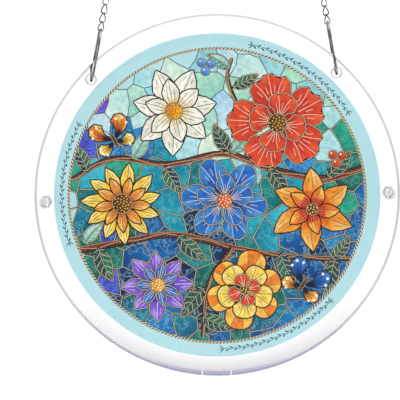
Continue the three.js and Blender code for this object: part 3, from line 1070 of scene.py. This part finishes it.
# Each leaf: its base, heading, length, breadth, bend and glass.
LEAVES = [
    ((-46, 22), 0.9, 20, 0.42, 0.3, MINT_GLASS),
    ((8, 24), 2.2, 19, 0.44, -0.3, LEAF_GLASS),
    ((8, 24), 0.7, 18, 0.42, 0.3, MINT_GLASS),
    ((60, 10), 0.6, 20, 0.42, 0.4, LEAF_GLASS),
    ((10, 60), 0.3, 16, 0.42, 0.3, LEAF_GLASS[1:]),
    ((9, 70), 2.4, 15, 0.44, 0.3, MINT_GLASS[1:]),
    ((-28, 18), -1.2, 18, 0.46, 0.3, LEAF_GLASS[2:]),
    ((28, 15), -0.8, 20, 0.42, -0.4, LEAF_GLASS),
    ((-66, -26), -1.4, 21, 0.46, 0.4, LEAF_GLASS[1:]),
    ((-70, 16), 1.9, 18, 0.42, 0.3, LEAF_GLASS[2:]),
    ((-22, -20), -1.0, 22, 0.40, 0.5, LEAF_GLASS[1:]),
    ((-8, -50), -2.4, 22, 0.42, 0.3, LEAF_GLASS),
    ((-10, -66), -0.6, 20, 0.44, 0.4, LEAF_GLASS[1:]),
    ((34, -32), -1.3, 20, 0.44, 0.3, LEAF_GLASS[2:]),
    ((64, -36), -1.9, 20, 0.44, 0.3, LEAF_GLASS),
    ((62, -36), 0.7, 17, 0.42, 0.4, LEAF_GLASS[1:]),
    ((-74, -24), 1.0, 17, 0.44, -0.4, MINT_GLASS),
]

FRILLED, TIPPED = partial(fan, frill=0.05), partial(fan, tip=0.16)
SWEPT, CURLED = partial(blade, belly=0.6, bend=0.25), partial(blade, belly=0.5, bend=0.35)
PLUMP, SLIM = partial(blade, belly=0.55), partial(blade, belly=0.6)

# Each flower: its middle, radius and turn, its rings of petals, and its heart's radius, paint and dots.
FLOWERS = [
    ((-22, 48), 24, 0.2, [
        (7, 1.0, 0.52, PLUMP, CREAM, 2, THIN_LEAD), (6, 0.72, 0.55, PLUMP, CREAM, 2, THIN_LEAD),
    ], (4.6, YELLOW[0], 18, RED[0])),
    ((34, 40), 26, 0.5, [
        (5, 1.0, 1.35, FRILLED, RED, 4, PALE_WIRE), (4, 0.62, 1.5, FRILLED, RED, 3, PALE_WIRE),
    ], (5.0, BROWN, 22, YELLOW[1])),
    ((-52, -2), 23, 0.1, [
        (11, 1.0, 0.34, SWEPT, YELLOW, 2, THIN_LEAD), (9, 0.68, 0.36, SWEPT, ORANGE, 2, THIN_LEAD),
    ], (5.4, BROWN, 26, YELLOW[1])),
    ((4, -2), 22, 0.9, [
        (6, 1.0, 1.05, TIPPED, BLUE, 3, PALE_WIRE), (5, 0.64, 1.2, TIPPED, BLUE, 3, PALE_WIRE),
    ], (4.2, ORANGE[0], 16, CREAM[1])),
    ((52, -8), 25, 0.4, [
        (6, 1.0, 0.50, CURLED, ORANGE, 2, THIN_LEAD), (5, 0.60, 0.52, CURLED, ROSE, 2, LEAD),
    ], (3.2, BROWN, 10, YELLOW[2])),
    ((-34, -48), 20, 0.0, [
        (8, 1.0, 0.46, SLIM, PURPLE, 2, PALE_WIRE), (7, 0.62, 0.46, SLIM, BLUE, 2, PALE_WIRE),
    ], (4.0, YELLOW[0], 14, CREAM[1])),
    ((14, -52), 22, 0.3, [
        (6, 1.0, 1.1, fan, ROSE, 3, LEAD), (5, 0.72, 1.3, fan, YELLOW, 3, THIN_LEAD),
        (4, 0.42, 1.5, fan, RED, 2, PALE_WIRE),
    ], (2.6, BROWN, 8, YELLOW[2])),
]


def picture_shapes():
    """The whole picture: seven flowers, two butterflies, leaves and berries on branches, before a
    background of glass shards, inside a rope border and a pale band with three garlands."""
    picture = Picture()
    picture.lay(circle(BAND_RADIUS, OUTLINE_STEPS), BAND)
    shards(picture)
    for corners, thick, thin in BRANCHES:
        branch(picture, corners, thick, thin)
    for base, heading, length, breadth, bend, glass in LEAVES:
        leaf(picture, base, heading, length, breadth, bend, *glass[:2])
    for middle, radius, turn, rings, heart in FLOWERS:
        bloom(picture, middle, radius, turn, rings)
        eye(picture, middle, *heart)
    butterfly(picture, (-55, 33), 14, 2.0, ROSE, YELLOW)
    butterfly(picture, (46, -50), 15, 1.0, BLUE, ORANGE)
    berries(picture, 66, 20, RED_BERRY)
    berries(picture, -4, 72, BLUE_BERRY)
    border(picture)
    for start, end in GARLANDS:
        garland(picture, start, end)
    return picture


def looked_up(keys, wanted):
    """Where each wanted number stands among the keys, and whether it is there at all."""
    order = np.argsort(keys)
    found = order[np.minimum(np.searchsorted(keys[order], wanted), len(keys) - 1)]
    return found, keys[found] == wanted


def simplified(plan, triangles, top):
    """The same picture in fewer triangles. Only the edges where two shapes meet are kept, and cut into
    triangles anew. A triangle beside such an edge takes the shape on its side of it, and passes it on
    across edges that part nothing."""
    edges, owner, key, reverse = directed_edges(triangles, len(plan))
    twin, paired = looked_up(key, reverse)
    parting = np.where(paired, top[owner[twin]], -1) != top[owner]
    key, key_top = key[parting], top[owner[parting]]
    used, numbers = np.unique(edges[parting], return_inverse=True)
    kept_edges = numbers.reshape(-1, 2).tolist()
    triangles = used[triangulated(plan[used], kept_edges, ALL, CUT_ANEW_DISTANCE)]
    edges, owner, new_key, reverse = directed_edges(triangles, len(plan))
    found, known = looked_up(key, new_key)
    new_top = np.full(len(triangles), -1)
    new_top[owner[known]] = key_top[found[known]]
    found, paired = looked_up(new_key, reverse)
    open_edge = paired & ~known
    here, there = owner[open_edge], owner[found[open_edge]]
    for _ in range(PASSES):
        passing = (new_top[here] < 0) & (new_top[there] >= 0)
        new_top[here[passing]] = new_top[there[passing]]
    return triangles, new_top


def printed_picture(finish, node):
    """The picture on both faces of a thin disc, with a rim between their outer edges. Each triangle
    keeps its shape's two colours, its slope from one to the other and its grain."""
    low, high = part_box(node)
    picture = picture_shapes()
    plan, triangles, top = picture.cut()
    triangles, top = simplified(plan, triangles, top)
    used, triangles = np.unique(triangles, return_inverse=True)
    plan, triangles = plan[used], triangles.reshape(-1, 3)
    count = len(plan)
    edges, _, key, reverse = directed_edges(triangles, count)
    outer = edges[~np.isin(key, reverse)]
    rim = np.stack([outer[:, 1], outer[:, 0], outer[:, 0] + count, outer[:, 1] + count], axis=-1)
    points = np.concatenate([on_disc(plan[:, 0] * MM, y, plan[:, 1] * MM) for y in (low.y, high.y)])
    faces = triangles.tolist() + (triangles[:, ::-1] + count).tolist() + rim.tolist()
    mesh = bpy.data.meshes.new("printed_picture")
    mesh.from_pydata(points.tolist(), [], faces)
    shape = np.concatenate([top, top, np.zeros(len(rim), int)])
    flat = np.tile(np.stack([plan[:, 0], 0 * plan[:, 0], plan[:, 1]], axis=-1), (2, 1))
    mesh.attributes.new("plan", "FLOAT_VECTOR", "POINT").data.foreach_set("vector", flat.ravel())
    slope = np.concatenate(picture.slope)[shape]
    mesh.attributes.new("slope", "FLOAT_VECTOR", "FACE").data.foreach_set("vector", slope.ravel())
    opaque = np.ones((len(shape), 1))
    names = ("first_colour", "second_colour", "grain")
    for name, rows in zip(names, (picture.first, picture.second, picture.grain)):
        values = np.append(np.concatenate(rows)[shape], opaque, axis=1)[:, :4]
        mesh.attributes.new(name, "FLOAT_COLOR", "FACE").data.foreach_set("color", values.ravel())
    mesh.materials.append(finish)
    return place_piece("printed_picture", mesh, node)


# The stage

CAMERA_DISTANCE = 0.80
CAMERA_ELEVATION = math.radians(8)
CAMERA_CLIP = (0.01, 50)
FRAME_PIXELS = 400
DISC_PIXELS = 366
DISC_RIGHT_OF_MIDDLE = 17.2
DISC_ABOVE_MIDDLE = 2.8
SENSOR_WIDTH = 36.0
FLOOR_BELOW_DISC = 1.6
FLOOR_RADIUS = 2.2
EVEN_LIGHT = 1.15
TOP_LIGHT = 1.1
FRONT_LIGHT = 2.0
DIM_LIGHT = 0.12


def camera():
    """The photograph's view: a little from above, with the disc right of the middle of the frame."""
    data = bpy.data.cameras.new("camera")
    eye = new_object("camera", data)
    half_frame = DISC_RADIUS * FRAME_PIXELS / DISC_PIXELS
    data.sensor_width = SENSOR_WIDTH
    data.lens = SENSOR_WIDTH / 2 * (CAMERA_DISTANCE + disc_low.y) / half_frame
    pixel = half_frame / (FRAME_PIXELS / 2) / CAMERA_DISTANCE
    eye.location = (
        0,
        -CAMERA_DISTANCE * math.cos(CAMERA_ELEVATION),
        DISC_HEIGHT + CAMERA_DISTANCE * math.sin(CAMERA_ELEVATION),
    )
    down = CAMERA_ELEVATION + DISC_ABOVE_MIDDLE * pixel
    eye.rotation_euler = (TURN / 4 - down, 0, DISC_RIGHT_OF_MIDDLE * pixel)
    data.clip_start, data.clip_end = CAMERA_CLIP
    bpy.context.scene.camera = eye


def floor():
    """A wide round pale floor, well below the hanging disc."""
    points = [(x, y, DISC_HEIGHT - FLOOR_BELOW_DISC) for x, y in circle(FLOOR_RADIUS, 96).tolist()]
    mesh = bpy.data.meshes.new("floor")
    mesh.from_pydata(points, [], [tuple(range(len(points)))])
    finish = Finish("floor", Roughness=0.9)
    grain = finish.noise(finish.place(), 6.0)
    finish.feed(Base_Color=finish.mix((0.92, 0.92, 0.92, 1), (0.96, 0.96, 0.96, 1), grain))
    mesh.materials.append(finish.material)
    ground = new_object("floor", mesh)


def studio():
    """Soft white light from all round, stronger from above and from high in front. It is dimmer
    straight in front of the disc, so that the clear faces don't mirror white over the picture."""
    world = bpy.data.worlds.new("studio")
    world.use_nodes = True
    bpy.context.scene.world = world
    sky = Nodes(world.node_tree)
    _, y, z = sky.parts(sky.node("ShaderNodeTexCoord", output="Generated"))
    ahead = (0 - y * 3).clamped() * (0.5 + z * 4).clamped()
    straight_ahead = (0 - y).ramp(0.82, 0.95)
    top = ((z - 0.15) * 1.4).clamped()
    bright = EVEN_LIGHT + top * TOP_LIGHT + ahead * FRONT_LIGHT
    back = world.node_tree.nodes["Background"]
    sky.join(bright * (1 - straight_ahead) + DIM_LIGHT * straight_ahead, back.inputs["Strength"])
    back.inputs["Color"].default_value = (1, 1, 1, 1)
    bpy.context.scene.view_settings.view_transform = "Standard"


acrylic, plastic, steel, film = clear_acrylic(), clear_plastic(), steel_wire(), printed_film()
camera()
floor()
studio()
plate("front_plate", disc_low.y, disc_high.y, acrylic, "front_disc")
plate("back_plate", back_low.y, back_high.y, acrylic, "back_disc")
for side, word in ((-1, "left"), (1, "right")):
    screw(f"clear_screw_{word}", side * SCREW_HOLE_ANGLE, plastic, f"screw_{word}")
    nut(f"clear_nut_{word}", side * SCREW_HOLE_ANGLE, plastic, f"nut_{word}")
    leg = Leg(side)
    wire_ring(f"wire_ring_{word}", leg, LEFT_RING_TURN if side < 0 else 0.0, steel, f"ring_{word}")
    chain(f"link_chain_{word}", leg, steel, f"chain_{word}")
hanging_ring("top_ring", steel, "hanging_ring")
printed_picture(film, "printed_insert")
